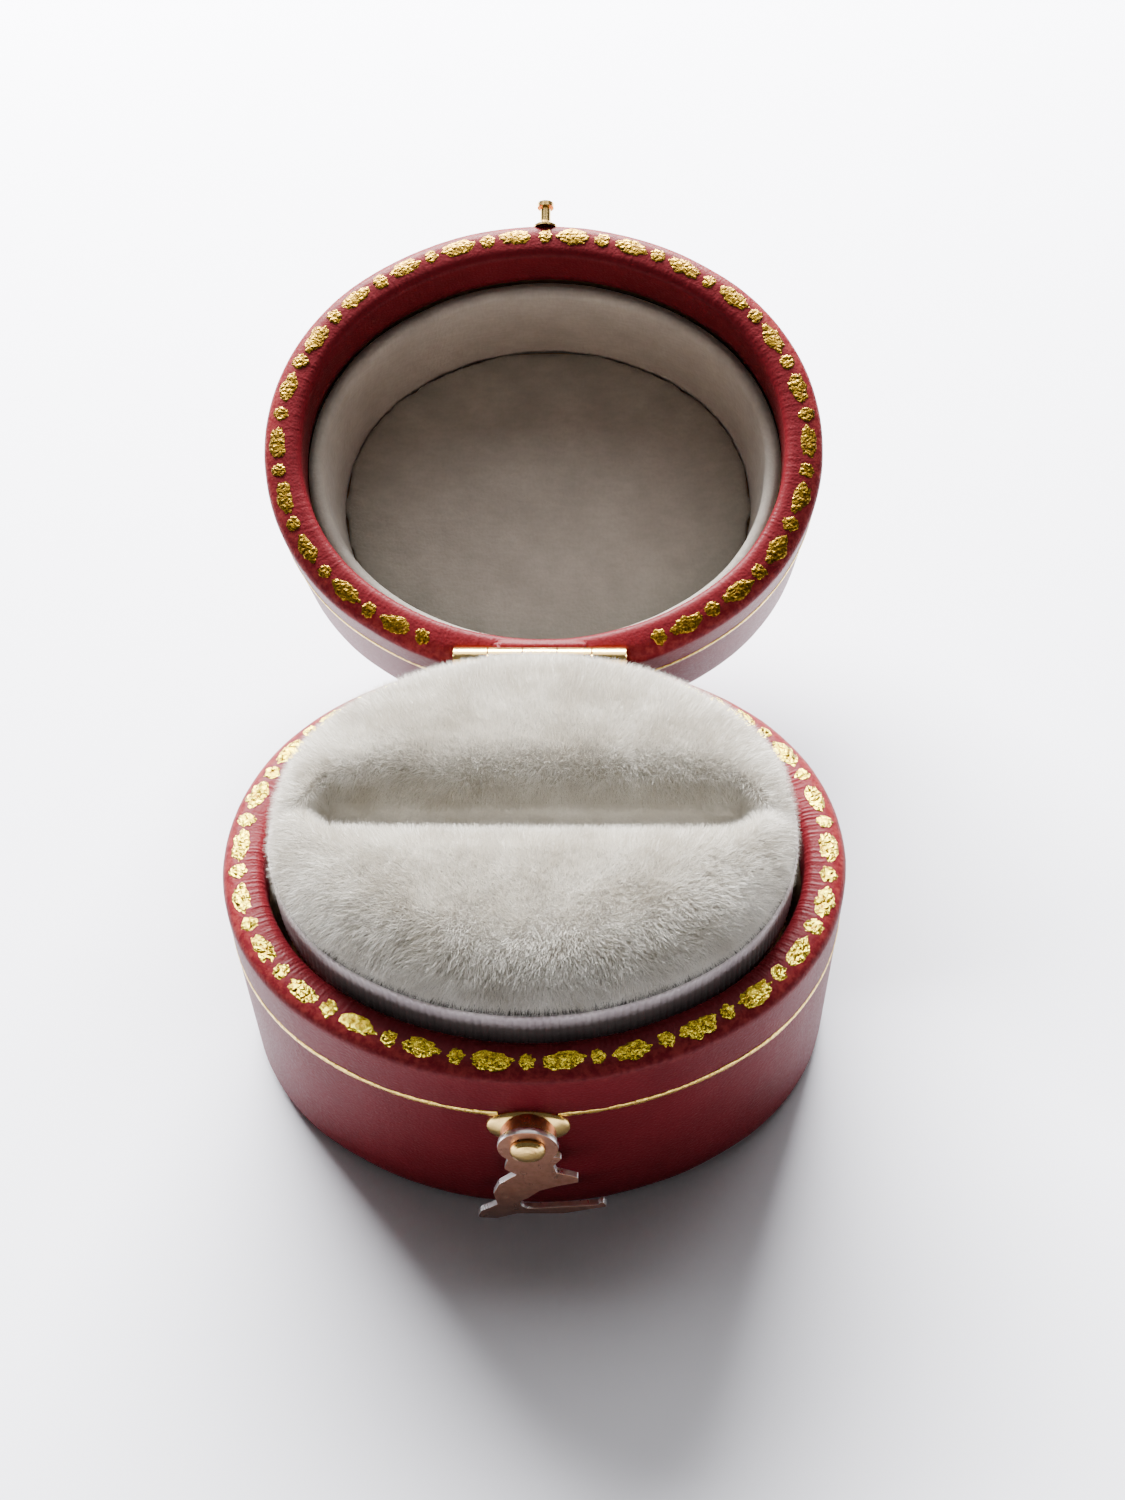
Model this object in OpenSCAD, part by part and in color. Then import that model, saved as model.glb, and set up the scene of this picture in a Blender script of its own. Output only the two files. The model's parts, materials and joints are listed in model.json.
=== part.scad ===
// Oval leather ring box: a base with a slotted velvet insert, a hinged lid, and a swing-hook clasp.
// Millimetres, +Z up. The origin is the centre of the underside, and the front faces -Y.
// The lid is drawn shut by its own modules, then turned back on its hinge by lid_open degrees.

/* [Box] */
// Width of the oval, side to side
box_w = 40; // [39:0.5:42]
// Depth of the oval, front to back
box_d = 34.4; // [34:0.2:36]
// Radius of the oval's two end curves
end_r = 15.8; // [15.4:0.1:16.2]
// Height of the base, table to rim
base_h = 16.6; // [16:0.1:18]
// Height of the lid above its own rim
lid_h = 15.3; // [14.8:0.1:17]
// How far each wall leans in between its rim and its far edge
wall_draft = 0.3; // [0:0.05:0.5]
// How far the oval is cut flat at the back for the hinge
back_flat = 1.1; // [1:0.05:1.3]
// How far the lid stands open, in degrees
lid_open = 153; // [90:1:155]

/* [Walls] */
// Thickness of the leather
leather_t = 0.45; // [0.3:0.05:0.6]
// Thickness of the wooden wall inside the leather
core_t = 1.8; // [1.4:0.1:2]
// Radius of the rounded outer edge of both rims
bead_r = 0.6; // [0.5:0.05:0.8]
// Radius of the lid's top edge
crown_r = 1.6; // [1:0.1:2]
// Rise of the lid's top above its edge
crown_rise = 0.5; // [0.2:0.1:0.8]
// Depth of the leather turned in over the base's rim
base_turn_in = 3.2; // [2:0.1:4]
// Depth of the leather turned in over the lid's rim
lid_turn_in = 3.9; // [2:0.1:4.5]
// Thickness of the floor and top boards
board_t = 1.2; // [1:0.1:1.6]

/* [Gilding] */
// Width of the gilt line round each wall
line_w = 0.5; // [0.3:0.05:0.6]
// Distance of the gilt line from its rim
line_drop = 4.45; // [3.5:0.05:6]
// Number of long dabs round a rim, with a round one between each two
dab_pairs = 26; // [20:2:30]
// Length of a long dab
dab_l = 2.4; // [1.5:0.1:2.8]
// Width of a long dab
dab_w = 1.2; // [0.8:0.05:1.4]
// Distance of the dabs' centre line from the wall's face
dab_inset = 1.1; // [1:0.05:1.5]

/* [Insert] */
// Height of the top of the ribbon above the table
ribbon_top = 18.2; // [17.6:0.1:18.6]
// Height of the crest of the velvet rolls
roll_top = 21.5; // [20.5:0.1:22.5]
// Width of the ring slot
slot_w = 3; // [2.4:0.1:3.2]
// Height of the bottom of the ring slot
slot_floor = 6; // [5:0.5:9]

/* [Clasp] */
// Height of the hook's pivot
pivot_z = 10.9; // [10.6:0.1:11.2]
// Height of the lid's stud when the box is shut
stud_z = 17.75; // [17.6:0.05:18]
// Thickness of the hook
hook_t = 0.4; // [0.3:0.05:0.5]

/* [Hinge] */
// Length of the hinge
hinge_w = 12; // [10:0.5:12.5]
// Radius of the hinge knuckles
knuckle_r = 0.85; // [0.8:0.05:0.9]
// Radius of the hinge pin
pin_r = 0.4; // [0.35:0.05:0.45]

/* [Hidden] */
$fn = 96;

// The oval is four arcs: two end arcs about (+-arc_x, 0), two long arcs about (0, -+arc_y)
half_w = box_w / 2;
half_d = box_d / 2;
arc_x = half_w - end_r;
arc_y = (pow(arc_x, 2) - pow(half_d - end_r, 2)) / (2 * (half_d - end_r));
long_r = half_d + arc_y;
arc_split = atan2(arc_y, arc_x);
arc_steps = 20;

wall_t = 2 * leather_t + core_t;
core_in = leather_t + core_t;
core_out = leather_t + wall_draft;
back_y = half_d - back_flat;
foot_z = 0.3;
foot_r = 0.8;
floor_top = foot_z + leather_t + board_t;

rim_gap = 0.2;
lid_rim = base_h + rim_gap;
lid_top = lid_rim + lid_h;
board_top = lid_top - leather_t - crown_rise;
board_z = board_top - board_t;
board_in = core_out + 0.6;
crown_in = 9;
crown_turn = 84;
hinge_y = back_y + 0.1;
hinge_z = base_h + rim_gap / 2;

insert_in = wall_t + 0.6;
ribbon_t = 0.3;
card_t = 0.15;
block_in = insert_in + ribbon_t;
roll_in = insert_in + 0.05;
touch = 0.05;

lining_gap = 1;
lining_z = lid_rim + lid_turn_in + lining_gap;
lining_card_t = 0.35;
lining_in = core_in + touch;
lining_face = lining_in + lining_card_t;
lip_t = 1.2;
lining_lean = 0.5;
pad_t = 0.8;

far = 60;

// Points along an arc, from angle a0 to a1 about c
function arc(c, r, a0, a1, n = 6) =
    [for (i = [0 : n]) let (t = a0 + (a1 - a0) * i / n) c + r * [cos(t), sin(t)]];

// Outline of the base wall as [offset from the oval, z]
base_wall = concat(
    arc([-wall_draft - foot_r, foot_z + foot_r], foot_r, -90, 0),
    arc([-bead_r, base_h - bead_r], bead_r, 0, 90)
);

// The same for the lid, with a low crown that levels out crown_in from its edge
shoulder = wall_draft + crown_r;
crown_z = lid_top - crown_rise;
lid_wall = concat(
    arc([-bead_r, lid_rim + bead_r], bead_r, -90, 0),
    arc([-shoulder, crown_z - crown_r], crown_r, 0, crown_turn),
    [for (u = [0.25 : 0.25 : 1])
        [-shoulder - (crown_in - shoulder) * u, crown_z + crown_rise * (1 - pow(1 - u, 2))]]
);

// Point and heading at distance s along the oval set in by d, counted from the front centre
function oval_at(s, d) = let (
    r1 = long_r - d,
    r2 = end_r - d,
    l1 = r1 * (90 - arc_split) * PI / 180,
    l2 = r2 * 2 * arc_split * PI / 180,
    u = abs(s),
    t = u < l1 ? -90 + u / r1 * 180 / PI
        : u < l1 + l2 ? -arc_split + (u - l1) / r2 * 180 / PI
        : arc_split + (u - l1 - l2) / r1 * 180 / PI,
    c = u < l1 ? [0, arc_y] : u < l1 + l2 ? [arc_x, 0] : [0, -arc_y],
    r = u < l1 || u > l1 + l2 ? r1 : r2,
    v = c + r * [cos(t), sin(t)]
) s < 0 ? [-v.x, v.y, 90 - t] : [v.x, v.y, t - 90];

function oval_length(d) =
    4 * PI / 180 * ((long_r - d) * (90 - arc_split) + (end_r - d) * arc_split);

// Corner points of the oval set in by d, with arc_steps sides to each arc
function oval_points(d) = [
    for (k = [0 : 3]) let (
        end = k % 2 == 0,
        turn = k < 2 ? 0 : 180,
        c = end ? [arc_x, 0] : [0, -arc_y],
        r = (end ? end_r : long_r) - d,
        a0 = end ? -arc_split : arc_split,
        a1 = end ? arc_split : 180 - arc_split
    )
    for (i = [1 : arc_steps]) let (
        t = a0 + (a1 - a0) * i / arc_steps,
        v = c + r * [cos(t), sin(t)]
    ) turn == 0 ? v : -v
];

// Plain oval prism set in by d, from z0 to z1
module oval_disc(d, z0, z1) translate([0, 0, z0]) linear_extrude(height = z1 - z0) polygon(oval_points(d));

// Plain oval band, from offset x0 in to x1
module oval_band(x0, x1, z0, z1) {
    translate([0, 0, z0]) linear_extrude(height = z1 - z0) difference() {
        polygon(oval_points(x0));
        polygon(oval_points(x1));
    }
}

// Solid oval whose side bulges along an outline of [offset, z]
module oval_solid(wall) {
    slice = 0.001;
    low = wall[0].y;
    hull() for (v = wall) oval_disc(-v.x, max(v.y - slice, low), max(v.y, low + slice));
}

// Everything in front of the plane y
module in_front_of(y) translate([-far, y - 2 * far, -far]) cube([2 * far, 2 * far, 2 * far]);

// A cylinder along X, centred on x = 0
module rod_x(r, l) rotate([0, 90, 0]) cylinder(r = r, h = l, center = true);

// A cylinder on the front wall, from y0 out to y1
module rod_y(r, y0, y1, z) translate([0, y0, z]) rotate([90, 0, 0]) cylinder(r = r, h = y0 - y1);

// Turns a shut lid part back about the hinge pin
module lid_pose() {
    translate([0, hinge_y, hinge_z]) rotate([-lid_open, 0, 0])
        translate([0, -hinge_y, -hinge_z]) children();
}

// ---- base shell ----

// Room inside the base's leather, between two heights
module shell_room(z0, z1) {
    intersection() {
        oval_disc(core_out, z0, z1);
        in_front_of(back_y - leather_t);
    }
}

module base_floor() color("burlywood") shell_room(foot_z + leather_t, floor_top);

module base_core() {
    color("tan") difference() {
        shell_room(floor_top, base_h - leather_t);
        oval_disc(core_in, 0, base_h);
        hinge_pocket();
        base_leaf_plate();
        rod_y(rivet_r, inside_y, clear_y, pivot_z);
    }
}

module base_leather() {
    color("#7c2634") difference() {
        intersection() {
            oval_solid(base_wall);
            in_front_of(back_y);
        }
        difference() {
            shell_room(foot_z + leather_t, base_h - leather_t);
            oval_disc(core_in, base_h - base_turn_in, base_h);
        }
        oval_disc(wall_t, floor_top, base_h + 1);
        oval_disc(under_in, 0, floor_top);
        hinge_pocket();
        base_leaf_plate();
        oval_y(plate_r, plate_h / 2, plate_y, clear_y);
        rod_y(rivet_r, inside_y, clear_y, pivot_z);
    }
}

// How far the leather is turned under the base
under_in = 4;
pad_in = 1.3;

module base_pad() {
    color("#4a1c24") {
        oval_disc(pad_in, 0, foot_z);
        oval_disc(under_in, foot_z, floor_top - board_t);
    }
}

// Band of foil round a wall that stands at offset x at height z
foil_t = 0.03;
module gilt_band(x, z) {
    difference() {
        intersection() {
            oval_disc(x - foil_t, z - line_w / 2, z + line_w / 2);
            in_front_of(back_y + foil_t);
        }
        intersection() {
            oval_disc(x, z - line_w, z + line_w);
            in_front_of(back_y);
        }
    }
}

// Offset of a wall at the upper edge of its gilt line, where it leans in over this height
function line_x(lean_h) = wall_draft * (line_drop - line_w / 2 - bead_r) / lean_h;

module base_gilt_line() {
    color("#d9b65a") difference() {
        gilt_band(line_x(base_h - bead_r - foot_r - foot_z), base_h - line_drop);
        oval_y(plate_r, plate_h / 2, inside_y, clear_y);
    }
}

// ---- rim dabs ----

// Pointed-oval dab: two arcs that meet at the tips, with the tips rounded off
module long_dab() {
    side_r = (pow(dab_l / 2, 2) + pow(dab_w / 2, 2)) / dab_w;
    intersection() {
        translate([0, side_r - dab_w / 2, 0]) cylinder(r = side_r, h = dab_t);
        translate([0, dab_w / 2 - side_r, 0]) cylinder(r = side_r, h = dab_t);
        cylinder(r = dab_l / 2 - dab_tip, h = dab_t);
    }
}

dab_t = 0.05;
dab_tip = 0.12;
dab_round_r = 0.55;
dab_hinge_gap = 1.6;
module round_dab() cylinder(r = dab_round_r, h = dab_t);

// Dabs all round a rim, round one at the front centre, none across the hinge
module rim_dabs() {
    step = oval_length(dab_inset) / (2 * dab_pairs);
    for (i = [-dab_pairs + 1 : dab_pairs]) {
        at = oval_at(i * step, dab_inset);
        clear_of_hinge = at.y < 0 || abs(at.x) > hinge_w / 2 + dab_hinge_gap;
        if (clear_of_hinge) translate([at.x, at.y, 0]) rotate([0, 0, at.z]) {
            if (i % 2 == 0) round_dab();
            else long_dab();
        }
    }
}

module base_rim_dabs() color("gold") translate([0, 0, base_h]) rim_dabs();

// ---- insert ----

module insert_half(front) {
    y = slot_w / 2;
    if (front) in_front_of(-y);
    else mirror([0, 1, 0]) in_front_of(-y);
}

module insert_block(front) {
    intersection() {
        oval_disc(block_in, floor_top, ribbon_top - card_t);
        insert_half(front);
    }
}

module insert_block_front() color("wheat") insert_block(true);

module insert_block_rear() color("wheat") insert_block(false);

module slot_spacer() {
    color("peru") intersection() {
        oval_disc(block_in, floor_top, slot_floor);
        translate([-far, -slot_w / 2, 0]) cube([2 * far, slot_w, far]);
    }
}

// Card on top of the blocks; its edge shows as a thin line above the ribbon
module insert_card() {
    color("#8a8468") for (front = [true, false]) intersection() {
        oval_disc(insert_in - touch, ribbon_top - card_t, ribbon_top);
        insert_half(front);
    }
}

module insert_ribbon() {
    z = ribbon_top - card_t;
    color("#8d7d80") oval_band(insert_in, block_in, z - ribbon_h, z);
}

ribbon_h = 3.6;

// Velvet roll: half of a domed oval, rounded over into the slot
roll_side = 3.6;
roll_edge = 2;
module velvet_roll() {
    rise = roll_top - ribbon_top;
    side = [for (v = arc([0, 0], 1, 0, 90, 8)) [-roll_in - roll_side * (1 - v.x), ribbon_top + rise * v.y]];
    top = [-roll_edge, roll_top - roll_edge];
    gap = slot_w / 2;
    intersection() {
        oval_solid(side);
        rotate([90, 0, 90]) linear_extrude(height = 2 * far, center = true)
            polygon(concat(
                [[-far, 0], [-gap, 0]],
                arc(top - [gap, 0], roll_edge, 0, 90, 6),
                [[-far, roll_top]]
            ));
    }
}

module velvet_roll_front() color("ivory") velvet_roll();

module velvet_roll_rear() color("ivory") mirror([0, 1, 0]) velvet_roll();

// ---- clasp ----

// Faces along the pivot, from the wall outwards
plate_y = -half_d + 0.2;
plate_r = 2.55;
plate_h = 3.5;
plate_edge = 0.25;
barrel_r = 1.7;
barrel_y = -half_d - 0.55;
hook_y = -half_d - 1.1;
hook_end = hook_y - hook_t;
slack = 0.05;
rivet_r = 0.55;
head_r = 1.08;
head_edge = 0.15;
head_rise = 0.45;
inside_y = -10;
clear_y = -20;

// Turns a profile of [radius, distance] about the pivot, pointing out of the wall
module turned_y(y, z, outline) {
    translate([0, y, z]) rotate([90, 0, 0]) rotate_extrude() polygon(outline);
}

// An upright oval disc on the front wall, about the pivot
module oval_y(half_x, half_z, y0, y1) {
    translate([0, y0, pivot_z]) rotate([90, 0, 0])
        linear_extrude(height = y0 - y1) scale([half_x, half_z]) circle(r = 1);
}

// Domed plate, trimmed to an oval, with a bore for the rivet
module clasp_escutcheon() {
    rise = plate_y - barrel_y;
    dome = [
        for (v = arc([0, 0], 1, 0, 90))
            [barrel_r + (plate_r - barrel_r) * v.x, plate_edge + (rise - plate_edge) * v.y]
    ];
    color("goldenrod") intersection() {
        turned_y(plate_y, pivot_z, concat([[rivet_r, 0], [plate_r, 0]], dome, [[rivet_r, rise]]));
        oval_y(plate_r, plate_h / 2, plate_y + 1, clear_y);
    }
}

module clasp_barrel() {
    color("#b5673f") difference() {
        rod_y(barrel_r, barrel_y, hook_y + slack, pivot_z);
        rod_y(rivet_r, barrel_y + 1, hook_y - 1, pivot_z);
    }
}

module clasp_rivet() {
    dome = [for (v = arc([0, 0], 1, 0, 90)) [head_r * v.x, head_edge + head_rise * v.y]];
    color("#d9b65a") {
        rod_y(rivet_r, -half_d + core_in, hook_end - slack, pivot_z);
        turned_y(hook_end - slack, pivot_z, concat([[0, 0], [head_r, 0]], dome));
    }
}

// The hook hangs from its eye, with its mouth to the right. Points are [x, z] from the pivot.
eye_r = 1.85;
mouth_r = 0.65;
hook_corner = 0.15;
mouth = [0, pivot_z - stud_z];
module clasp_hook() {
    body = [
        [1.2, -1.0], [2.1, -1.1], [1.5, -2.1], [1.7, -2.9], [3.0, -3.5], [3.0, -4.1], [1.7, -4.6],
        [0.6, -5.2], mouth + [-0.2, mouth_r], mouth - [0, mouth_r],
        mouth + [4.2, -0.1], mouth + [4.5, 0.4], mouth + [4.8, -0.3], mouth + [2.0, -1.25],
        mouth + [-0.9, -1.3], [-2.2, -8.8], [-3.4, -8.7], [-3.2, -7.9], [-2.1, -7.0],
        [-2.3, -5.6], [-1.9, -4.4], [-0.8, -3.2], [-1.5, -2.5], [-1.2, -1.0]
    ];
    color("#c98f7a") translate([0, hook_y, pivot_z]) rotate([90, 0, 0]) difference() {
        linear_extrude(height = hook_t) {
            circle(r = eye_r);
            offset(r = hook_corner, $fn = 24) offset(delta = -hook_corner) polygon(body);
        }
        translate([mouth.x, mouth.y, -1]) cylinder(r = mouth_r, h = 3);
        translate([0, 0, -1]) cylinder(r = rivet_r + slack, h = 3);
    }
}

stud_r = 0.38;
stud_head_r = 0.6;
stud_head_t = 0.35;
collar_y = -half_d + 0.15;
collar_r = 0.9;
collar_h = 0.5;
collar_edge = 0.15;
collar_top_r = 0.5;
module lid_stud() {
    stem_y = hook_end - slack;
    color("goldenrod") lid_pose() {
        rod_y(stud_r, -half_d + core_in, stem_y, stud_z);
        rod_y(stud_head_r, stem_y, stem_y - stud_head_t, stud_z);
    }
}

// Tapered collar at the foot of the stud
module lid_stud_washer() {
    color("goldenrod") lid_pose() turned_y(collar_y, stud_z, [
        [stud_r, 0], [collar_r, 0], [collar_r, collar_edge], [collar_top_r, collar_h], [stud_r, collar_h]
    ]);
}

// ---- hinge ----

knuckles = 5;
knuckle_w = hinge_w / knuckles;
knuckle_gap = 0.05;
knuckle_clear = 0.08;
pocket_clear = 0.15;
leaf_h = 4.5;
leaf_t = 0.3;
leaf_y = back_y - leather_t - leaf_t;
bore_clear = 0.03;

module hinge_pocket() {
    translate([0, hinge_y, hinge_z]) rod_x(knuckle_r + pocket_clear, hinge_w + 2 * pocket_clear);
}

module base_leaf_plate() {
    translate([-hinge_w / 2, leaf_y, hinge_z - leaf_h]) cube([hinge_w, leaf_t, leaf_h]);
}

module lid_leaf_plate() {
    translate([-hinge_w / 2, leaf_y, hinge_z]) cube([hinge_w, leaf_t, leaf_h]);
}

// Knuckles of one parity, grown by g in radius and at each end
module knuckle_row(odd, g) {
    for (i = [odd : 2 : knuckles - 1])
        translate([-hinge_w / 2 + (i + 0.5) * knuckle_w, hinge_y, hinge_z])
            rod_x(knuckle_r + g, knuckle_w - 2 * knuckle_gap + 2 * g);
}

module hinge_base_leaf() {
    color("darkgoldenrod") difference() {
        union() {
            base_leaf_plate();
            knuckle_row(0, 0);
        }
        knuckle_row(1, knuckle_clear);
        translate([0, hinge_y, hinge_z]) rod_x(pin_r + bore_clear, hinge_w + 1);
    }
}

module hinge_lid_leaf() {
    color("darkgoldenrod") lid_pose() difference() {
        union() {
            lid_leaf_plate();
            knuckle_row(1, 0);
        }
        knuckle_row(0, knuckle_clear);
        translate([0, hinge_y, hinge_z]) rod_x(pin_r + bore_clear, hinge_w + 1);
    }
}

module hinge_pin() color("peru") translate([0, hinge_y, hinge_z]) rod_x(pin_r, hinge_w);

// ---- lid ----

module lid_core() {
    color("tan") lid_pose() difference() {
        shell_room(lid_rim + leather_t, board_z);
        oval_disc(core_in, lid_rim, board_z + 1);
        hinge_pocket();
        lid_leaf_plate();
        rod_y(stud_r, inside_y, clear_y, stud_z);
    }
}

module lid_top_board() color("burlywood") lid_pose() oval_disc(board_in, board_z, board_top);

module lid_leather() {
    color("#7c2634") lid_pose() difference() {
        intersection() {
            oval_solid(lid_wall);
            in_front_of(back_y);
        }
        difference() {
            shell_room(lid_rim + leather_t, board_z);
            oval_disc(core_in, lid_rim, lid_rim + lid_turn_in);
        }
        oval_disc(board_in, board_z - 1, board_top);
        oval_disc(wall_t, lid_rim - 1, board_z);
        hinge_pocket();
        lid_leaf_plate();
        rod_y(collar_r, collar_y, clear_y, stud_z);
        rod_y(stud_r, inside_y, clear_y, stud_z);
    }
}

module lid_rim_dabs() {
    color("gold") lid_pose() translate([0, 0, lid_rim]) mirror([0, 0, 1]) rim_dabs();
}

module lid_gilt_line() {
    lean_h = crown_z - crown_r - lid_rim - bead_r;
    color("#d9b65a") lid_pose() gilt_band(line_x(lean_h), lid_rim + line_drop);
}

module lid_lining_card() {
    color("#8a8468") lid_pose() oval_band(lining_in, lining_face, lining_z + lining_card_t, board_z);
}

// Padded cloth round the side, thicker towards the top
module lid_side_lining() {
    inner = lining_face + lip_t;
    color("gainsboro") lid_pose() difference() {
        oval_disc(lining_face, lining_z, board_z);
        oval_solid([[-inner, lining_z], [-inner - lining_lean, board_z]]);
    }
}

module lid_top_pad() {
    edge = lining_face + lip_t + lining_lean + touch;
    side = arc([-edge - pad_t, board_z], pad_t, -90, 0, 8);
    color("lightgray") lid_pose() oval_solid(side);
}

base_floor();
base_core();
base_leather();
base_rim_dabs();
base_gilt_line();
base_pad();
insert_block_front();
insert_block_rear();
slot_spacer();
insert_card();
insert_ribbon();
velvet_roll_front();
velvet_roll_rear();
clasp_escutcheon();
clasp_barrel();
clasp_rivet();
clasp_hook();
hinge_base_leaf();
hinge_lid_leaf();
hinge_pin();
lid_core();
lid_top_board();
lid_leather();
lid_rim_dabs();
lid_gilt_line();
lid_lining_card();
lid_side_lining();
lid_top_pad();
lid_stud();
lid_stud_washer();
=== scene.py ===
import json
import math

import bmesh
import bpy
import numpy as np
from mathutils import Matrix, Vector, noise


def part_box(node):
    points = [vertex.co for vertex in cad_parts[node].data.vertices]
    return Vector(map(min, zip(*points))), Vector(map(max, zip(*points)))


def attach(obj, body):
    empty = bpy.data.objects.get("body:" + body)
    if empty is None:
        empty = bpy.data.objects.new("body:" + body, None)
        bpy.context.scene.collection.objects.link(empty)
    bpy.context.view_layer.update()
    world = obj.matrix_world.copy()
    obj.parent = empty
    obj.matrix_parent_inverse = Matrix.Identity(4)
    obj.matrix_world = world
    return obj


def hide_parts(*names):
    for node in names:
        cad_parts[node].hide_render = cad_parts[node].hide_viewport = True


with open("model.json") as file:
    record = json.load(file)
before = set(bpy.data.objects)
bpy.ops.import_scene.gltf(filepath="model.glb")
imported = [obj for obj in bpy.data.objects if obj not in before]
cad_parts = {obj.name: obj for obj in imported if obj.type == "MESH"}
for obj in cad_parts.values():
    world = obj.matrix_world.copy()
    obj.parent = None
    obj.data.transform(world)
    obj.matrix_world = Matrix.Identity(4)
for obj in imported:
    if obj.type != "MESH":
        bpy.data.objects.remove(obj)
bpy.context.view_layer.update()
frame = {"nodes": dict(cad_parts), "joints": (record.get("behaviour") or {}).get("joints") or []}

MM = 0.001
NODES = frame["nodes"]
JOINTS = {j["name"]: j for j in frame["joints"]}

# ---------------------------------------------------------------- sizes read from the frame

LEATHER_LO, LEATHER_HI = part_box("base_leather")
HALF_W = LEATHER_HI.x
HALF_D = -LEATHER_LO.y
BACK_Y = LEATHER_HI.y
RIM_Z = LEATHER_HI.z
FOOT_Z = LEATHER_LO.z

HINGE = JOINTS["lid_hinge"]
HINGE_Y, HINGE_Z = HINGE["pos_m"][1], HINGE["pos_m"][2]
LID_OPEN = math.radians(HINGE["range_deg"][1])
LID_RIM_Z = 2 * HINGE_Z - RIM_Z
HINGE_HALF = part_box("hinge_base_leaf")[1].x
KNUCKLE_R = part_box("hinge_base_leaf")[1].z - HINGE_Z

RIBBON_LO, RIBBON_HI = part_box("insert_ribbon")
INSERT_IN = HALF_W - RIBBON_HI.x
ROLL_LO, ROLL_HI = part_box("velvet_roll_front")
SLOT_HALF = -ROLL_HI.y
SLOT_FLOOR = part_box("slot_spacer")[1].z
PIVOT = Vector(JOINTS["hook_swing"]["pos_m"])

# The oval is four arcs: end arcs about (+-ARC_X, 0) and long arcs about (0, -+ARC_Y)
END_R = 0.79 * HALF_W
ARC_X = HALF_W - END_R
ARC_Y = (ARC_X**2 - (HALF_D - END_R) ** 2) / (2 * (HALF_D - END_R))
LONG_R = HALF_D + ARC_Y
SPLIT = math.atan2(ARC_Y, ARC_X)

# ---------------------------------------------------------------- sizes of the looks

# The wall, measured in from the outer oval: leather, wooden core, and how far the wall leans in
LEATHER_T = 0.45 * MM
WALL_T = 2.7 * MM
CORE_OUT = 0.75 * MM
CORE_IN = 2.25 * MM
DRAFT = 0.3 * MM

# The rounded rim: the crest runs flat from DOME_OUT to DOME_IN, and falls away on both sides
DOME_OUT = 1.35 * MM
DOME_OUT_H = 0.8 * MM
DOME_IN = 1.95 * MM
DOME_IN_H = 0.55 * MM
# The crest lies RIM_GAP short of the plane where the rims meet, and no leather comes nearer than LEAST_GAP
RIM_GAP = 0.1 * MM
LEAST_GAP = 0.04 * MM
# How far the leather runs down inside the wall
BASE_TURN_IN = 3.2 * MM
LID_TURN_IN = 3.9 * MM

# The foot of the base, and the crown of the lid
FOOT_R = 0.8 * MM
UNDER_IN = 4 * MM
CROWN_R = 1.6 * MM
CROWN_RISE = 0.5 * MM
CROWN_IN = 9 * MM

# Steps round the oval, and how deep the leather is gathered on each rim
BASE_STEPS = 1650
LID_STEPS = 1100
BASE_PLEATS = 0.15 * MM
LID_PLEATS = 0.07 * MM

# Gilding: the line's distance from the rim, and the dabs, long and round in turn
LINE_DROP = 4.45 * MM
LINE_HALF = 0.25 * MM
LINE_STEPS = 1500
DAB_IN = 1.1 * MM
DAB_PAIRS = 26
DAB_RINGS = 10
DAB_SPOKES = 44

# Lining of the lid: its lip's thickness, how far the lip hangs past the CAD's, and how its face leans in
LIP_T = 1.2 * MM
LIP_LOW = 0.8 * MM
LINING_LEAN = 0.5 * MM
LINING_STEPS = 480
LINING_ROWS = 16

# Velvet: the slot's half length, its lining's thickness, and the pile's fibres on each roll and in the slot
SLOT_END = 14.4 * MM
SLOT_CLOTH_T = 0.05 * MM
PILE_FIBRES = 115000
SLOT_FIBRES = 26000
FIBRE_LENGTH_MM = (0.4, 0.95)
FIBRE_HALF_WIDTH = 0.014 * MM

# Ribbon: the ribs' spacing, how far they stand out, and the points that draw each rib
RIB_PITCH = 0.46 * MM
RIB_PROUD = 0.08 * MM
RIB_STEPS = 8

# Cloth is simulated this many times larger, where its solver is steady, for this many frames
SIM_SCALE = 25
SIM_FRAMES = 20

# Points round the clasp's plate and barrel
CLASP_STEPS = 96

# The room, in metres and watts. Each light is [place, width, height, power], aimed at LIGHT_TARGET
FLOOR_HALF = 1.5
ROOM_COLOUR = (1.0, 0.97, 0.93, 1)
ROOM_STRENGTH = 0.12
WINDOW = ((-0.06, 0.335, 0.235), 0.42, 0.1, 21)
CEILING = ((0.0, 0.2, 0.31), 0.44, 0.24, 1.25)
LIGHT_TARGET = Vector((0, 0.06, 0))

# The camera's direction, its distance from the point that it looks at, and its lens
CAMERA_TURN = math.radians(-2.06)
CAMERA_ELEVATION = math.radians(49.34)
CAMERA_ROLL = math.radians(-1.38)
CAMERA_DISTANCE = 123.5 * MM
CAMERA_TARGET = Vector((2.0, 0.0, 26.0)) * MM
CAMERA_LENS = 48.94
SENSOR = 36.0


def shut(points):
    """Lid points in the frame, turned to where they are when the lid is shut."""
    y, z = points[:, 1] - HINGE_Y, points[:, 2] - HINGE_Z
    c, s = math.cos(LID_OPEN), math.sin(LID_OPEN)
    out = points.copy()
    out[:, 1] = HINGE_Y + y * c - z * s
    out[:, 2] = HINGE_Z + y * s + z * c
    return out


def opened(points):
    """The reverse of shut(): lid points turned back about the hinge pin."""
    y, z = points[:, 1] - HINGE_Y, points[:, 2] - HINGE_Z
    c, s = math.cos(LID_OPEN), math.sin(LID_OPEN)
    out = points.copy()
    out[:, 1] = HINGE_Y + y * c + z * s
    out[:, 2] = HINGE_Z - y * s + z * c
    return out


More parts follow.
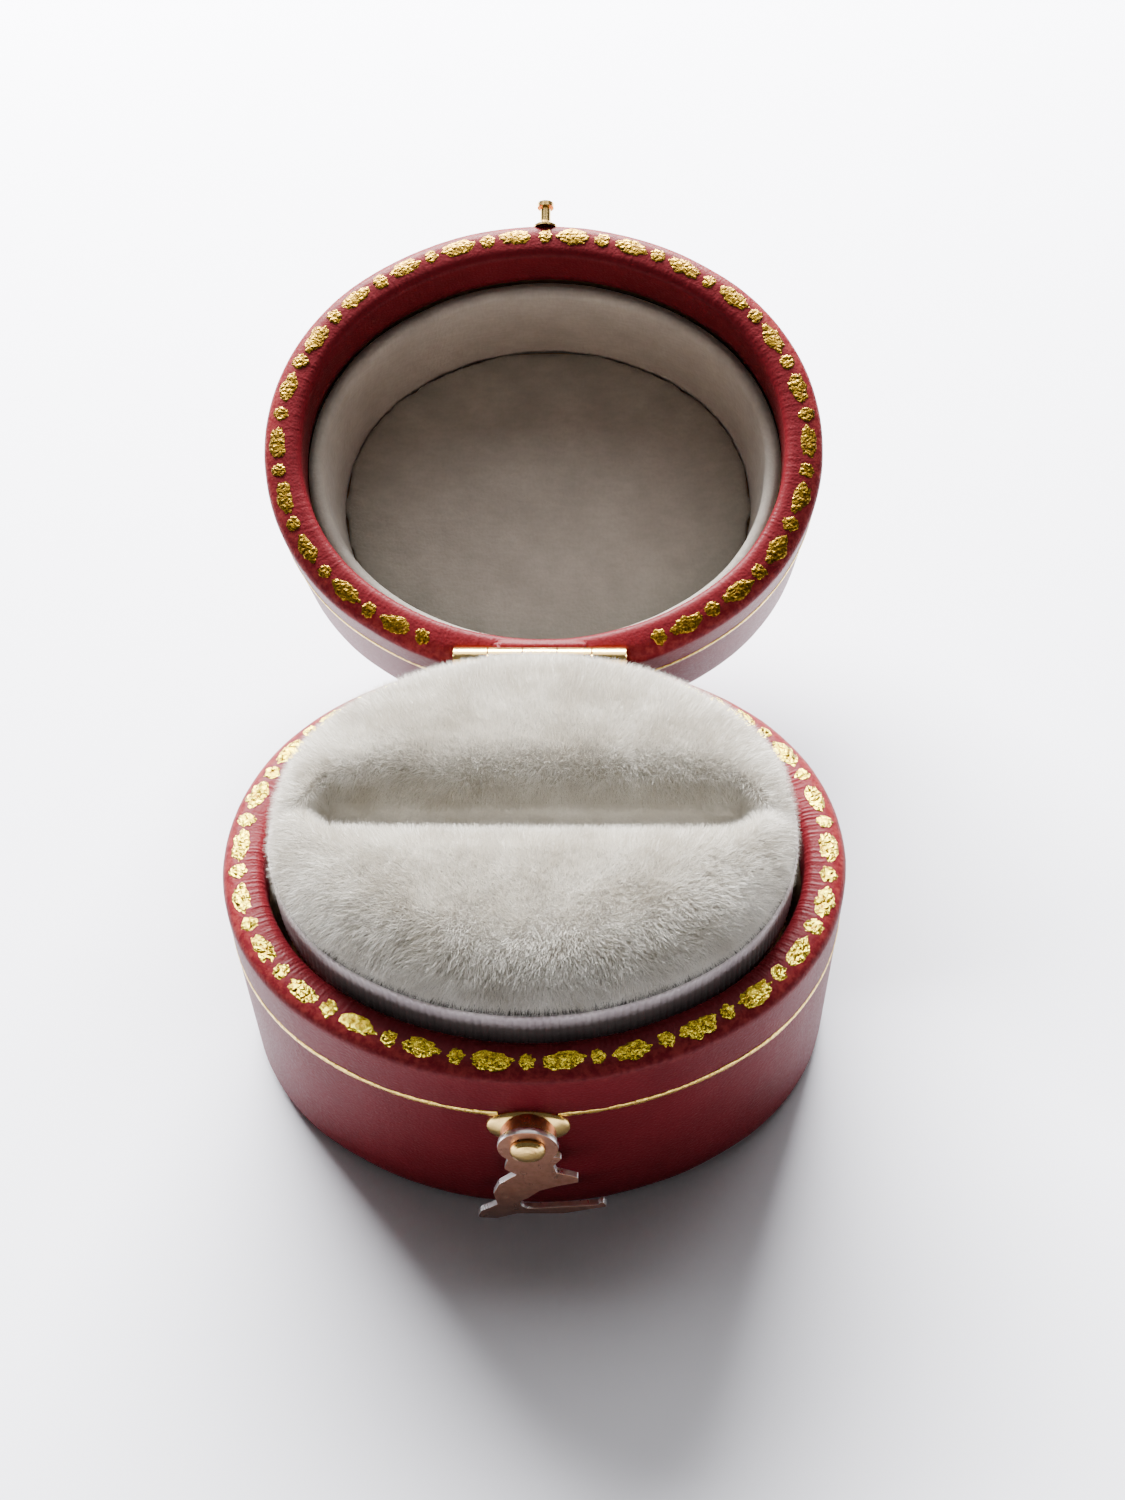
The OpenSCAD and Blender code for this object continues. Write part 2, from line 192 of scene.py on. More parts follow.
def vectors(items, key, kind=float):
    """One property of three numbers, such as co, of every item of a mesh: (n, 3)."""
    values = np.empty(len(items) * 3, kind)
    items.foreach_get(key, values)
    return values.reshape(-1, 3)


def shut_box(name):
    """Lowest and highest corner of a lid node when the lid is shut."""
    p = shut(vectors(NODES[name].data.vertices, "co"))
    return p.min(0), p.max(0)


LID_H = shut_box("lid_leather")[1][2] - LID_RIM_Z
LINING_LO, LINING_HI = shut_box("lid_side_lining")
LINING_OUT = HALF_W - LINING_HI[0]
PAD_HIGH = shut_box("lid_top_pad")[1][2]

# ---------------------------------------------------------------- the oval


def oval_length(d=0.0):
    return 4 * (LONG_R - d) * (math.pi / 2 - SPLIT) + 4 * (END_R - d) * SPLIT


def oval_at(s, d=0.0):
    """Arc centre, arc radius and outward direction at distance s round the oval set in by d.
    The radius is the outer oval's. s counts from the front centre, to the right."""
    s = np.asarray(s, float)
    side = np.where(s < 0, -1.0, 1.0)
    u = np.abs(s)
    r_long, r_end = LONG_R - d, END_R - d
    l1 = r_long * (math.pi / 2 - SPLIT)
    l2 = r_end * 2 * SPLIT
    front, end = u < l1, (u >= l1) & (u < l1 + l2)
    angle = np.select(
        [front, end],
        [-math.pi / 2 + u / r_long, -SPLIT + (u - l1) / r_end],
        SPLIT + (u - l1 - l2) / r_long,
    )
    cx = np.where(end, ARC_X, 0.0) * side
    cy = np.select([front, end], [ARC_Y, 0.0], -ARC_Y)
    out = np.stack([np.cos(angle) * side, np.sin(angle)], -1)
    return np.stack([cx, cy], -1), np.where(end, END_R, LONG_R), out


def round_path(n):
    """n even steps round the oval, from the back centre."""
    half = oval_length() / 2
    return (np.arange(n) + 0.5) / n * 2 * half - half


def arc(c, r, a0, a1, n):
    t = np.radians(np.linspace(a0, a1, n + 1))
    return [(c[0] + r * math.cos(a), c[1] + r * math.sin(a)) for a in t]


def straight(a, b, n):
    """n points from a towards b, without b."""
    return [(a[0] + (b[0] - a[0]) * i / n, a[1] + (b[1] - a[1]) * i / n) for i in range(n)]


# ---------------------------------------------------------------- noise that doesn't tile


def wobble(points, size, seed=0.0):
    """Smooth noise from -1 to 1 at each point, with lumps of about that size."""
    k = 1 / size
    return np.array([noise.noise((x * k + seed, y * k - seed, z * k + 2 * seed)) for x, y, z in points])


def wobble_1d(s, size, seed=0.0):
    return np.array([noise.noise((v / size, seed, 0.37 * seed)) for v in s])


def smoothstep(a, b, x):
    t = np.clip((x - a) / (b - a), 0, 1)
    return t * t * (3 - 2 * t)


# ---------------------------------------------------------------- mesh helpers


def new_object(name, verts, faces):
    mesh = bpy.data.meshes.new(name)
    mesh.from_pydata([tuple(v) for v in verts], [], faces)
    mesh.validate()
    mesh.polygons.foreach_set("use_smooth", [True] * len(mesh.polygons))
    mesh.update()
    obj = bpy.data.objects.new(name, mesh)
    bpy.context.scene.collection.objects.link(obj)
    return obj


def recalc_normals(obj):
    bm = bmesh.new()
    bm.from_mesh(obj.data)
    bmesh.ops.recalc_face_normals(bm, faces=bm.faces)
    bm.to_mesh(obj.data)
    bm.free()


def sweep_points(outline, s):
    """(n, m, 3) points: each [inset, height] of the outline carried round the path s."""
    c, r, out = oval_at(s)
    outline = np.asarray(outline, float)
    radius = r[:, None] - outline[None, :, 0]
    xy = c[:, None, :] + radius[..., None] * out[:, None, :]
    z = np.broadcast_to(outline[None, :, 1], radius.shape)
    return np.concatenate([xy, z[..., None]], -1)


def sweep_faces(n, m, closed):
    """Quads of an n by m grid that joins up round n, and round m if closed."""
    faces = []
    for i in range(n):
        j = (i + 1) % n
        for k in range(m if closed else m - 1):
            after = (k + 1) % m
            faces.append((i * m + k, j * m + k, j * m + after, i * m + after))
    return faces


def last_ring_fan(n, m):
    """Triangles from the last ring of an n by m grid to a centre point that follows the grid."""
    return [(i * m + m - 1, ((i + 1) % n) * m + m - 1, n * m) for i in range(n)]


def place(obj, body, slot, material, *nodes, pad=None):
    """Gives a piece its material and its body, and hides the CAD nodes that it stands for. The slot argument
    is not used.
    """
    if obj.data.materials:
        obj.data.materials[0] = material
    else:
        obj.data.materials.append(material)
    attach(obj, body)
    if nodes:
        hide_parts(*nodes)
    return obj


def bevel(obj, width, segments, angle):
    mod = obj.modifiers.new("bevel", "BEVEL")
    mod.width = width
    mod.segments = segments
    mod.limit_method = "ANGLE"
    mod.angle_limit = math.radians(angle)


def apply_modifiers(obj):
    graph = bpy.context.evaluated_depsgraph_get()
    mesh = bpy.data.meshes.new_from_object(obj.evaluated_get(graph))
    obj.modifiers.clear()
    obj.data = mesh


# ---------------------------------------------------------------- material helpers


class Nodes:
    """A material's node tree, with short calls for the nodes that this scene uses."""

    def __init__(self, name, **constants):
        self.material = bpy.data.materials.new(name)
        self.material.use_nodes = True
        self.tree = self.material.node_tree
        self.shader = self.tree.nodes["Principled BSDF"]
        coord = self.tree.nodes.new("ShaderNodeTexCoord")
        scale = self.tree.nodes.new("ShaderNodeMapping")
        scale.inputs["Scale"].default_value = (1 / MM, 1 / MM, 1 / MM)
        self.tree.links.new(coord.outputs["Object"], scale.inputs["Vector"])
        self.mm = scale.outputs["Vector"]
        self.set(**constants)

    def set(self, **constants):
        for key, value in constants.items():
            self.shader.inputs[key.replace("_", " ")].default_value = value

    def link(self, a, b):
        self.tree.links.new(a, b)

    def stretched(self, x, y, z):
        node = self.tree.nodes.new("ShaderNodeMapping")
        node.inputs["Scale"].default_value = (x, y, z)
        self.link(self.mm, node.inputs["Vector"])
        return node.outputs["Vector"]

    def noise(self, scale, detail=3.0, rough=0.55, vector=None):
        node = self.tree.nodes.new("ShaderNodeTexNoise")
        node.inputs["Scale"].default_value = scale
        node.inputs["Detail"].default_value = detail
        node.inputs["Roughness"].default_value = rough
        self.link(vector or self.mm, node.inputs["Vector"])
        return node.outputs["Fac"]

    def voronoi(self, scale, feature):
        node = self.tree.nodes.new("ShaderNodeTexVoronoi")
        node.feature = feature
        node.inputs["Scale"].default_value = scale
        self.link(self.mm, node.inputs["Vector"])
        return node.outputs["Distance"]

    def range(self, value, low, high, out_low, out_high):
        node = self.tree.nodes.new("ShaderNodeMapRange")
        ends = {"From Min": low, "From Max": high, "To Min": out_low, "To Max": out_high}
        for key, number in ends.items():
            node.inputs[key].default_value = number
        self.link(value, node.inputs["Value"])
        return node.outputs["Result"]

    def math(self, kind, a, b):
        node = self.tree.nodes.new("ShaderNodeMath")
        node.operation = kind
        for value, socket in ((a, node.inputs[0]), (b, node.inputs[1])):
            if isinstance(value, (int, float)):
                socket.default_value = value
            else:
                self.link(value, socket)
        return node.outputs[0]

    def mix(self, fac, a, b):
        """Colour a where fac is 0, and colour b where it is 1."""
        node = self.tree.nodes.new("ShaderNodeMix")
        node.data_type = "RGBA"
        for value, socket in ((fac, node.inputs[0]), (a, node.inputs[6]), (b, node.inputs[7])):
            if isinstance(value, (int, float)):
                socket.default_value = value
            elif isinstance(value, tuple):
                socket.default_value = (*value, 1)
            else:
                self.link(value, socket)
        return node.outputs[2]

    def geometry(self, name):
        return self.tree.nodes.new("ShaderNodeNewGeometry").outputs[name]

    def axis(self, vector, name):
        node = self.tree.nodes.new("ShaderNodeSeparateXYZ")
        self.link(vector, node.inputs[0])
        return node.outputs[name]

    def attribute(self, name):
        node = self.tree.nodes.new("ShaderNodeAttribute")
        node.attribute_name = name
        return node.outputs["Fac"]

    def bump(self, height, distance, strength):
        node = self.tree.nodes.new("ShaderNodeBump")
        node.inputs["Strength"].default_value = strength
        node.inputs["Distance"].default_value = distance
        self.link(height, node.inputs["Height"])
        return node.outputs["Normal"]

    def done(self, colour=None, rough=None, normal=None):
        for value, key in ((colour, "Base Color"), (rough, "Roughness"), (normal, "Normal")):
            if value is not None:
                self.link(value, self.shader.inputs[key])
        return self.material


# ---------------------------------------------------------------- materials


def leather_material(name, dark, light, worn):
    m = Nodes(name, Coat_Weight=0.02, Coat_Roughness=0.3, Coat_IOR=1.45)
    m.set(Specular_IOR_Level=0.05)
    cloud = m.noise(0.22, 4)
    fine = m.noise(7, 3, 0.6)
    tone = m.mix(m.range(cloud, 0.25, 0.75, 0.2, 0.8), dark, light)
    tone = m.mix(m.range(fine, 0.3, 0.75, 0, 0.35), tone, tuple(0.55 * c for c in dark))
    wear = m.math("MULTIPLY", m.attribute("edge"), m.range(m.noise(2.2, 5, 0.65), 0.42, 0.62, 0, 1))
    tone = m.mix(m.math("MULTIPLY", wear, 0.55), tone, worn)
    cells = m.voronoi(5.5, "SMOOTH_F1")
    grain = m.math("ADD", m.math("MULTIPLY", cells, 0.8), m.math("MULTIPLY", fine, 0.6))
    normal = m.bump(grain, 0.045 * MM, 0.55)
    return m.done(tone, m.range(fine, 0.3, 0.7, 0.34, 0.52), normal)


def gilt_material(name, deep, bright, rough, crinkle, scale):
    m = Nodes(name, Metallic=1.0)
    spots = m.noise(scale, 4, 0.6)
    tone = m.mix(m.range(spots, 0.35, 0.6, 0, 1), deep, bright)
    folds = m.math("ADD", m.voronoi(scale * 0.9, "DISTANCE_TO_EDGE"), m.math("MULTIPLY", spots, 0.7))
    normal = m.bump(folds, crinkle, 0.9)
    return m.done(tone, m.range(spots, 0.3, 0.7, rough * 1.5, rough * 0.7), normal)


def metal_material(name, tone, tarnish, rough, scratch=0.006 * MM):
    m = Nodes(name, Metallic=1.0)
    cloud = m.noise(1.1, 5, 0.6)
    lines = m.noise(6, 3, 0.6, m.stretched(0.5, 5.0, 1.2))
    colour = m.mix(m.range(cloud, 0.45, 0.7, 0, 0.7), tone, tarnish)
    normal = m.bump(lines, scratch, 0.6)
    return m.done(colour, m.range(cloud, 0.3, 0.7, rough * 0.7, rough * 1.5), normal)


def velvet_material(name, light, shade, sheen):
    m = Nodes(name, Roughness=0.95, Sheen_Weight=sheen, Sheen_Roughness=0.35)
    m.set(Specular_IOR_Level=0.1)
    cloud = m.noise(0.35, 3)
    nap = m.noise(6, 4, 0.7)
    tone = m.mix(m.range(cloud, 0.35, 0.7, 0, 1), light, shade)
    tone = m.mix(m.range(nap, 0.35, 0.7, 0, 0.4), tone, tuple(0.8 * c for c in shade))
    return m.done(tone, None, m.bump(nap, 0.12 * MM, 0.5))


def satin_material(name, light, shade, weave, rough=0.55):
    """Closely woven cloth: fine crossed threads over soft blotches."""
    m = Nodes(name, Sheen_Weight=0.35, Sheen_Roughness=0.4)
    m.set(Specular_IOR_Level=0.3)
    cloud = m.noise(0.3, 3)
    threads = m.noise(weave, 2, 0.5, m.stretched(1.0, 1.0, 0.15))
    cross = m.noise(weave, 2, 0.5, m.stretched(0.2, 0.2, 1.0))
    cloth = m.math("ADD", threads, cross)
    tone = m.mix(m.range(cloud, 0.35, 0.7, 0, 1), light, shade)
    tone = m.mix(m.range(cloth, 0.8, 1.25, 0, 0.25), tone, tuple(0.7 * c for c in shade))
    return m.done(tone, m.range(cloth, 0.8, 1.2, rough, rough + 0.2), m.bump(cloth, 0.05 * MM, 0.6))


def fibre_material(name, light, dark, grain):
    """Card or wood: streaks along X."""
    m = Nodes(name, Roughness=0.8)
    streak = m.noise(grain, 4, 0.6, m.stretched(0.25, 1.0, 1.0))
    tone = m.mix(m.range(streak, 0.35, 0.65, 0, 1), light, dark)
    return m.done(tone, None, m.bump(streak, 0.03 * MM, 0.4))


LEATHER = leather_material("burgundy_leather", (0.09, 0.006, 0.009), (0.14, 0.01, 0.015), (0.24, 0.035, 0.03))
UNDER = leather_material("underside_leather", (0.05, 0.012, 0.018), (0.08, 0.02, 0.028), (0.1, 0.03, 0.03))
DAB_GILT = gilt_material("gilt_dab_foil", (0.26, 0.16, 0.01), (0.78, 0.61, 0.045), 0.16, 0.2 * MM, 3.3)
# The lid's dabs are the same foil as the base's, painted much darker: painted shade on the open lid's rim
PAINTED_SHADE_LID_GILT = gilt_material("gilt_lid_foil_painted_shade", (0.08, 0.035, 0.004), (0.36, 0.21, 0.015), 0.3, 0.1 * MM, 3.3)
LINE_GILT = gilt_material("gilt_line_foil", (0.4, 0.22, 0.03), (0.95, 0.68, 0.16), 0.3, 0.02 * MM, 5.0)
BRASS = metal_material("polished_brass", (0.87, 0.6, 0.2), (0.6, 0.34, 0.12), 0.2)
COPPER = metal_material("worn_copper", (0.55, 0.2, 0.09), (0.2, 0.07, 0.04), 0.28, 0.03 * MM)
# The rolls' cloth under the pile is the same ivory velvet as the fibres, painted darker: painted shade
# between the fibres
PAINTED_SHADE_VELVET = velvet_material("ivory_velvet", (0.52, 0.49, 0.44), (0.4, 0.37, 0.32), 0.1)
PILE = velvet_material("ivory_velvet_pile", (0.9, 0.87, 0.81), (0.68, 0.64, 0.57), 0.05)
LINING = satin_material("grey_lining", (0.5, 0.465, 0.4), (0.42, 0.39, 0.335), 5.0)
RIBBON = satin_material("grosgrain_ribbon", (0.8, 0.7, 0.7), (0.6, 0.5, 0.52), 7.0, 0.6)
WOOD = fibre_material("wood_core", (0.5, 0.36, 0.22), (0.36, 0.24, 0.14), 3.0)
# The card is painted near black: painted shade in the gaps where its edges show
PAINTED_SHADE_CARD = fibre_material("lining_card", (0.06, 0.05, 0.04), (0.035, 0.03, 0.025), 5.0)


def hook_material():
    """Copper faces with painted shade at the low end, and pale edges that are partly bare cut metal and
    partly a painted highlight: only the faces look along Y.
    """
    m = Nodes("copper_hook", Metallic=1.0)
    hook_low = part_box("clasp_hook")[0].z / MM
    painted_shade_height = 3.5
    along_y = m.math("ABSOLUTE", m.axis(m.geometry("True Normal"), "Y"), 0)
    # Faces that don't look along Y are painted pale silver: partly the bare metal of the cut edges, partly a
    # painted highlight
    edge = m.range(along_y, 0.35, 0.8, 1, 0)
    cloud = m.noise(1.3, 5, 0.65)
    face = m.mix(m.range(cloud, 0.3, 0.75, 0, 1), (0.66, 0.33, 0.22), (0.42, 0.19, 0.12))
    # Painted shade: the hook's low end is darkened, where the plate faces away from the light
    low = m.range(m.axis(m.mm, "Z"), hook_low, hook_low + painted_shade_height, 0.8, 0)
    face = m.mix(low, face, (0.22, 0.17, 0.16))
    tone = m.mix(edge, face, (0.82, 0.8, 0.78))
    lines = m.noise(7, 3, 0.6, m.stretched(4.0, 1.0, 0.6))
    return m.done(tone, m.range(cloud, 0.3, 0.7, 0.24, 0.42), m.bump(lines, 0.008 * MM, 0.6))


HOOK = hook_material()

# ---------------------------------------------------------------- leather shells


def rim_drop(inset):
    """How far the rounded rim lies from the plane where the rims meet, at each inset."""
    out = np.clip((DOME_OUT - inset) / DOME_OUT, 0, 1)
    into = np.clip((inset - DOME_IN) / (WALL_T - DOME_IN), 0, 1)
    return RIM_GAP + DOME_OUT_H * (1 - np.sqrt(1 - out**2)) + DOME_IN_H * (1 - np.sqrt(1 - into**2))


def rim_outline(turn_in):
    """[inset, depth below the plane where the rims meet] from the end of the turn-in, over the rim, to
    the wall."""
    inner = [WALL_T - (WALL_T - DOME_IN) * (1 - math.sin(a)) for a in np.radians([90, 70, 52, 35, 18])]
    outer = [DOME_OUT * (1 - math.sin(a)) for a in np.radians(np.arange(0, 91, 10))]
    dome = inner + [DOME_IN, (DOME_IN + DOME_OUT) / 2] + outer
    return straight((WALL_T, turn_in), (WALL_T, DOME_IN_H), 5) + [(d, float(rim_drop(d))) for d in dome]


def pleat_height(s, inset, depth, deep):
    """Fine gathers across the inner half of the rim, fading out below it."""
    fold = wobble_1d(s, 0.34 * MM, 3.1) + 0.5 * wobble_1d(s, 0.16 * MM, 8.3)
    patch = 0.55 + 0.45 * wobble_1d(s, 7 * MM, 5.9)
    strength = smoothstep(1.0 * MM, 2.0 * MM, inset) * (1 - 0.9 * smoothstep(0.5 * MM, 2.0 * MM, depth))
    return deep * ((np.abs(fold) - 0.35) * patch)[:, None] * strength[None, :]


def flat_back(y, over, outer, inset, depth):
    """Cuts the oval flat behind: the rim keeps its rounded shape, and the wall below it is cut straight."""
    share = 1 - smoothstep(0.8 * MM, DOME_IN, inset)
    set_in = y - over[:, None] * share[None, :]
    cut = np.minimum(y, BACK_Y)
    outer_y = set_in + (cut - set_in) * smoothstep(5 * MM, 8 * MM, depth)[None, :]
    inner_y = np.minimum(y, BACK_Y - LEATHER_T)
    return np.where(outer[None, :], outer_y, inner_y)


def facing(inset, depth):
    """How far each outline point faces out of the wall, and how far down from the rim."""
    tangent = np.gradient(np.array([inset, depth]).T, axis=0)
    length = np.maximum(np.hypot(tangent[:, 0], tangent[:, 1]), 1e-9)
    return tangent[:, 1] / length, tangent[:, 0] / length


def shell(outline, n_outer, s, z_of, seed, pleats):
    """Carries a leather outline round the oval, cut flat at the back, gathered and slightly uneven.
    z_of turns a depth below the rim into a height in the frame."""
    inset, depth = np.array(outline).T
    pts = sweep_points(np.stack([inset, 0 * depth], -1), s)
    outer = np.arange(len(outline)) < n_outer
    c, r, out = oval_at(s)
    over = np.maximum(0, (c[:, 1] + r * out[:, 1]) - BACK_Y)
    pts[:, :, 1] = flat_back(pts[:, :, 1], over, outer, inset, depth)
    face_out, face_down = facing(inset, depth)
    lump = wobble(pts.reshape(-1, 3), 3.5 * MM, seed).reshape(pts.shape[:2]) * 0.035 * MM
    fine = wobble(pts.reshape(-1, 3), 0.7 * MM, seed + 5).reshape(pts.shape[:2]) * 0.008 * MM
    push = (pleat_height(s, inset, depth, pleats) + lump + fine) * outer[None, :]
    pts[:, :, 0] += out[:, None, 0] * push * face_out[None, :]
    pts[:, :, 1] += out[:, None, 1] * push * face_out[None, :]
    pts[:, :, 2] = z_of(np.maximum(depth[None, :] + push * face_down[None, :], LEAST_GAP))
    return clear_of_hinge(pts)


def clear_of_hinge(pts):
    """Pushes leather out of the round pocket that the knuckles turn in."""
    pocket = KNUCKLE_R + 0.12 * MM
    dy, dz = pts[..., 1] - HINGE_Y, pts[..., 2] - HINGE_Z
    dist = np.maximum(np.hypot(dy, dz), 1e-9)
    inside = (np.abs(pts[..., 0]) < HINGE_HALF + 0.15 * MM) & (dist < pocket)
    scale = np.where(inside, pocket / dist, 1)
    pts[..., 1] = HINGE_Y + dy * scale
    pts[..., 2] = HINGE_Z + dz * scale
    return pts


def edge_wear(obj, outline, n, extra):
    """Marks the outer edge of the rim, where the leather is rubbed."""
    inset, depth = np.array(outline).T
    near = np.exp(-((np.hypot(inset - 0.3 * MM, depth - 0.3 * MM) / (0.7 * MM)) ** 2))
    values = np.concatenate([np.tile(near, n), np.zeros(extra)])
    attribute = obj.data.attributes.new("edge", "FLOAT", "POINT")
    attribute.data.foreach_set("value", values)


def round_corner(inset, depth, radius, end, step):
    """[inset, depth] round a corner of the outline that starts at inset and depth, going down."""
    angles = np.radians(np.arange(0, end + 1, step))
    return [(inset + radius - radius * math.cos(a), depth + radius * math.sin(a)) for a in angles]


def base_outline():
    """The base's outer leather, from the turn-in to the underside, and its inner face, round the wood."""
    foot = RIM_Z - FOOT_Z
    outer = rim_outline(BASE_TURN_IN)
    outer += straight((0, DOME_OUT_H + 0.4 * MM), (DRAFT, foot - FOOT_R), 16)
    outer += round_corner(DRAFT, foot - FOOT_R, FOOT_R, 90, 18)
    outer += straight((DRAFT + FOOT_R + 0.5 * MM, foot), (UNDER_IN, foot), 3)
    outer += [(UNDER_IN, foot)]
    under = foot - LEATHER_T
    inner = [(UNDER_IN, under), (CORE_OUT, under), (CORE_OUT, LEATHER_T)]
    inner += [(CORE_IN, LEATHER_T), (CORE_IN, BASE_TURN_IN)]
    return outer, inner


def base_leather():
    outer, inner = base_outline()
    outline = outer + inner
    s = round_path(BASE_STEPS)
    pts = shell(outline, len(outer), s, lambda h: RIM_Z - h, 1.7, BASE_PLEATS)
    obj = new_object("leather_base", pts.reshape(-1, 3), sweep_faces(len(s), len(outline), True))
    edge_wear(obj, outline, len(s), 0)
    recalc_normals(obj)
    place(obj, "base", "leather", LEATHER, "base_leather")


def lid_outline():
    """The lid's outer leather up to where the crown levels out."""
    shoulder = DRAFT + CROWN_R
    top = LID_H - CROWN_RISE
    outer = rim_outline(LID_TURN_IN)
    outer += straight((0, DOME_OUT_H + 0.4 * MM), (DRAFT, top - CROWN_R), 14)
    outer += round_corner(DRAFT, top - CROWN_R, CROWN_R, 84, 14)
    for u in np.linspace(0.15, 1, 5):
        outer.append((shoulder + (CROWN_IN - shoulder) * u, top + CROWN_RISE * (1 - (1 - u) ** 2)))
    return outer


def lid_leather():
    """The lid's outer leather, closed over the flat middle of the crown and given its thickness."""
    outline = lid_outline()
    pts = shell(outline, len(outline), round_path(LID_STEPS), lambda h: LID_RIM_Z + h, 6.2, LID_PLEATS)
    shrinks = (0.75, 0.5, 0.25)
    rings = [pts[:, -1:] * (shrink, shrink, 1) for shrink in shrinks]
    pts = np.concatenate([pts] + rings, 1)
    n, m = pts.shape[:2]
    faces = sweep_faces(n, m, False) + last_ring_fan(n, m)
    verts = np.vstack([pts.reshape(-1, 3), pts[:, -1].mean(0)])
    obj = new_object("leather_lid", opened(verts), faces)
    edge_wear(obj, outline + [(CROWN_IN, LID_H)] * len(shrinks), n, 1)
    recalc_normals(obj)
    thickness = obj.modifiers.new("thickness", "SOLIDIFY")
    thickness.thickness = LEATHER_T
    thickness.offset = -1
    apply_modifiers(obj)
    reshape(obj, off_the_rim)
    place(obj, "lid", "leather", LEATHER, "lid_leather")


def off_the_rim(points):
    """Keeps the lid's leather just short of the plane where the two rims meet."""
    p = shut(points)
    p[:, 2] = np.maximum(p[:, 2], LID_RIM_Z + LEAST_GAP)
    return opened(p)


# ---------------------------------------------------------------- gilding


def dab_patch(long, rng):
    """One ragged leaf of foil, as rings about its centre: (rings, spokes, 3), and each ring's share of
    its full thickness, which falls to nothing at the edge."""
    a = np.linspace(0, 2 * math.pi, DAB_SPOKES, endpoint=False)
    if long:
        half_l = 1.2 * MM * rng.uniform(0.93, 1.05)
        half_w = 0.6 * MM * rng.uniform(0.9, 1.08)
        x = half_l * np.cos(a)
        y = half_w * np.sign(np.sin(a)) * np.abs(np.sin(a)) ** 1.15
    else:
        radius = 0.55 * MM * rng.uniform(0.88, 1.08)
        x, y = radius * 0.95 * np.cos(a), radius * np.sin(a)
    ragged = 1 + 0.15 * np.convolve(rng.standard_normal(DAB_SPOKES + 2), [0.25, 0.5, 0.25], "valid")
    u = np.linspace(0.06, 1, DAB_RINGS)[:, None]
    px, py = u * x * ragged, u * y * ragged
    thick = np.clip((1 - u) / 0.18, 0, 1)
    pz = (0.03 * MM) * thick + np.zeros_like(px)
    return np.stack([px, py, pz], -1), thick


def laid_dab(s, patch, thick, jitter, seed_a, seed_b):
    """A patch laid on the rim at distance s, bent along it and crinkled: (rings, spokes, 2) places, and
    heights from the plane where the rims meet."""
    c, r, out = oval_at(s, DAB_IN)
    centre = c + (r - DAB_IN) * out
    along = np.array([-out[1], out[0]])
    xy = centre + jitter + patch[..., :1] * along + patch[..., 1:2] * out
    xy -= (patch[..., :1] ** 2 / (2 * r)) * out
    flat = np.concatenate([xy, np.zeros_like(patch[..., :1])], -1).reshape(-1, 3)
    crinkle = wobble(flat, 0.2 * MM, seed_a).reshape(DAB_RINGS, -1)
    fine = wobble(flat, 0.1 * MM, seed_b).reshape(DAB_RINGS, -1)
    pleats = wobble_1d(s + patch[..., 0].ravel(), 0.3 * MM, 3.1).reshape(DAB_RINGS, -1)
    height = patch[..., 2] - rim_drop(DAB_IN - patch[..., 1])
    height += (0.02 * crinkle + 0.012 * fine + 0.022 * pleats) * MM * thick + 0.012 * MM
    return xy, height


def dab_faces(start):
    """A fan in the middle of a patch, and quads between its rings."""
    centre = start + DAB_RINGS * DAB_SPOKES
    faces = []
    for k in range(DAB_SPOKES):
        after = (k + 1) % DAB_SPOKES
        faces.append((start + k, start + after, centre))
        for j in range(DAB_RINGS - 1):
            a, b = start + j * DAB_SPOKES, start + (j + 1) * DAB_SPOKES
            faces.append((a + k, b + k, b + after, a + after))
    return faces


def dabs(name, z_rim, up, seed):
    """All the dabs of one rim, long and round in turn, with none across the hinge.
    up is 1 for the base's rim, which faces up, and -1 for the lid's."""
    rng = np.random.default_rng(seed)
    step = oval_length(DAB_IN) / (2 * DAB_PAIRS)
    verts, faces = [], []
    for i in range(-DAB_PAIRS + 1, DAB_PAIRS + 1):
        c, r, out = oval_at(i * step, DAB_IN)
        centre = c + (r - DAB_IN) * out
        if centre[1] > 0 and abs(centre[0]) < HINGE_HALF + 1.6 * MM:
            continue
        patch, thick = dab_patch(i % 2 != 0, rng)
        jitter = rng.uniform(-0.05, 0.05, 2) * MM
        xy, height = laid_dab(i * step, patch, thick, jitter, seed + i, seed - i)
        grid = np.concatenate([xy, (z_rim + up * height)[..., None]], -1)
        faces += dab_faces(len(verts))
        verts.extend(grid.reshape(-1, 3))
        verts.append(grid[0].mean(0))
    verts = np.array(verts)
    obj = new_object(name, verts if up > 0 else opened(verts), faces)
    recalc_normals(obj)
    return obj


